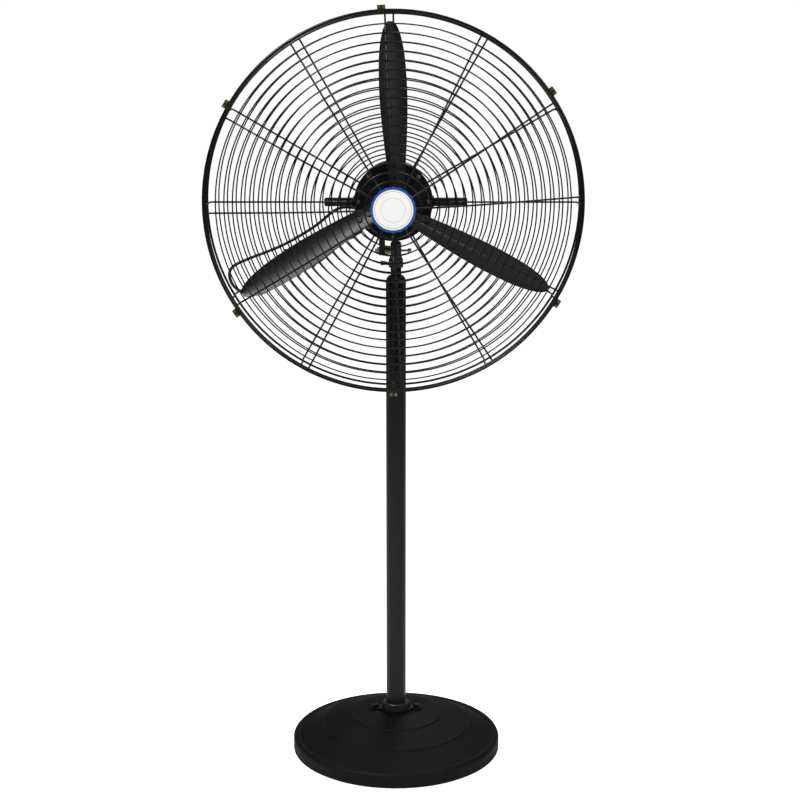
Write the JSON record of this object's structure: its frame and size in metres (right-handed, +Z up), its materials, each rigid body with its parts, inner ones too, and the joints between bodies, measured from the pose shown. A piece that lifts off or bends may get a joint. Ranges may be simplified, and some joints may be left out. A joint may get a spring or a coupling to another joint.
{
  "type": "industrial pedestal fan",
  "caption": "Black industrial pedestal fan with a caged three-blade rotor, telescopic pole and heavy round base.",
  "frame": {"origin": "centre of the base's underside, on the axis of the pole", "axes": "+Z up along the pole, the fan blows towards -Y, +X to the right seen from the front"},
  "size_m": [0.806, 0.4941, 1.6958],
  "materials": {
    "cast_black": "satin",
    "base_black": "matt coated",
    "pole_black": "gloss",
    "blade_black": "satin black",
    "wire_black": "gloss",
    "zinc": "zinc plated",
    "steel": "bare",
    "neck_steel": "metallic grey",
    "copper": "enamelled wire",
    "black_plastic": "moulded",
    "badge_blue": "gloss",
    "badge_white": "gloss",
    "rubber_black": "matt"
  },
  "bodies": {
    "stand": {"base_mat": "rubber_black", "base_casting": "base_black", "foot_flange": "cast_black", "foot_stud": "steel", "foot_nut": "zinc", "foot_bolts": "cast_black", "foot_washer": "zinc", "pole_tube": "pole_black", "pole_bush": "black_plastic"},
    "height_lock": {"height_lock_bolt": "black_plastic"},
    "mast": {"inner_tube": "pole_black"},
    "swivel": {"swivel_socket": "neck_steel"},
    "socket_lock": {"socket_set_bolt": "zinc"},
    "tilt_clamp": {"tilt_bolt": "steel"},
    "knob": {"speed_knob": "black_plastic"},
    "rotor": {"rotor_shaft": "steel", "rotor_core": "steel", "blade_hub": "cast_black", "fan_blades": "blade_black", "blade_screws": "zinc", "hub_nut": "zinc"},
    "head": {"tilt_nut": "zinc", "tilt_washers": "zinc", "motor_housing": "cast_black", "motor_front_cover": "cast_black", "motor_rear_cover": "cast_black", "stator_core": "steel", "stator_windings": "copper", "bearings": "steel", "guard_mount_disc": "cast_black", "disc_screws": "zinc", "handle_bar_left": "cast_black", "handle_bar_right": "cast_black", "switch_box": "black_plastic", "switch_box_lid": "black_plastic", "rotary_switch": "black_plastic", "run_capacitor": "black_plastic", "front_guard_rings": "wire_black", "front_guard_rim": "wire_black", "front_guard_spokes": "wire_black", "rear_guard_plate": "wire_black", "rear_guard_spokes": "wire_black", "rear_guard_rings": "wire_black", "rear_guard_posts": "wire_black", "rear_guard_rim": "wire_black", "rim_clips": "zinc", "clip_screws": "zinc", "badge_plate": "wire_black", "badge_ring": "badge_blue", "badge_face": "badge_white", "cord_gland": "black_plastic", "cord_lead": "rubber_black", "cord_hank": "rubber_black", "cord_ties": "black_plastic", "mains_plug": "black_plastic"}
  },
  "joints": [
    {"name": "height_slide", "type": "slide", "parent": "stand", "child": "mast", "axis": [0, 0, 1], "range_m": [0, 0.3]},
    {"name": "height_lock_turn", "type": "hinge", "parent": "stand", "child": "height_lock", "pos_m": [0, 0.04, 1.078], "axis": [0, 1, 0], "continuous": true},
    {"name": "head_swivel", "type": "hinge", "parent": "mast", "child": "swivel", "pos_m": [0, 0, 1.14], "axis": [0, 0, 1], "range_deg": [-90, 90]},
    {"name": "set_bolt_turn", "type": "hinge", "parent": "swivel", "child": "socket_lock", "pos_m": [-0.02, 0, 1.141], "axis": [-1, 0, 0], "continuous": true},
    {"name": "head_tilt", "type": "hinge", "parent": "swivel", "child": "head", "pos_m": [0, 0, 1.169], "axis": [-1, 0, 0], "range_deg": [-12, 30]},
    {"name": "tilt_bolt_turn", "type": "hinge", "parent": "head", "child": "tilt_clamp", "pos_m": [0, 0, 1.169], "axis": [1, 0, 0], "continuous": true},
    {"name": "rotor_spin", "type": "hinge", "parent": "head", "child": "rotor", "pos_m": [-0.005, 0, 1.285], "axis": [0, 1, 0], "continuous": true},
    {"name": "speed_knob_turn", "type": "hinge", "parent": "head", "child": "knob", "pos_m": [-0.005, 0.12, 1.285], "axis": [0, 1, 0], "range_deg": [0, 135]}
  ]
}
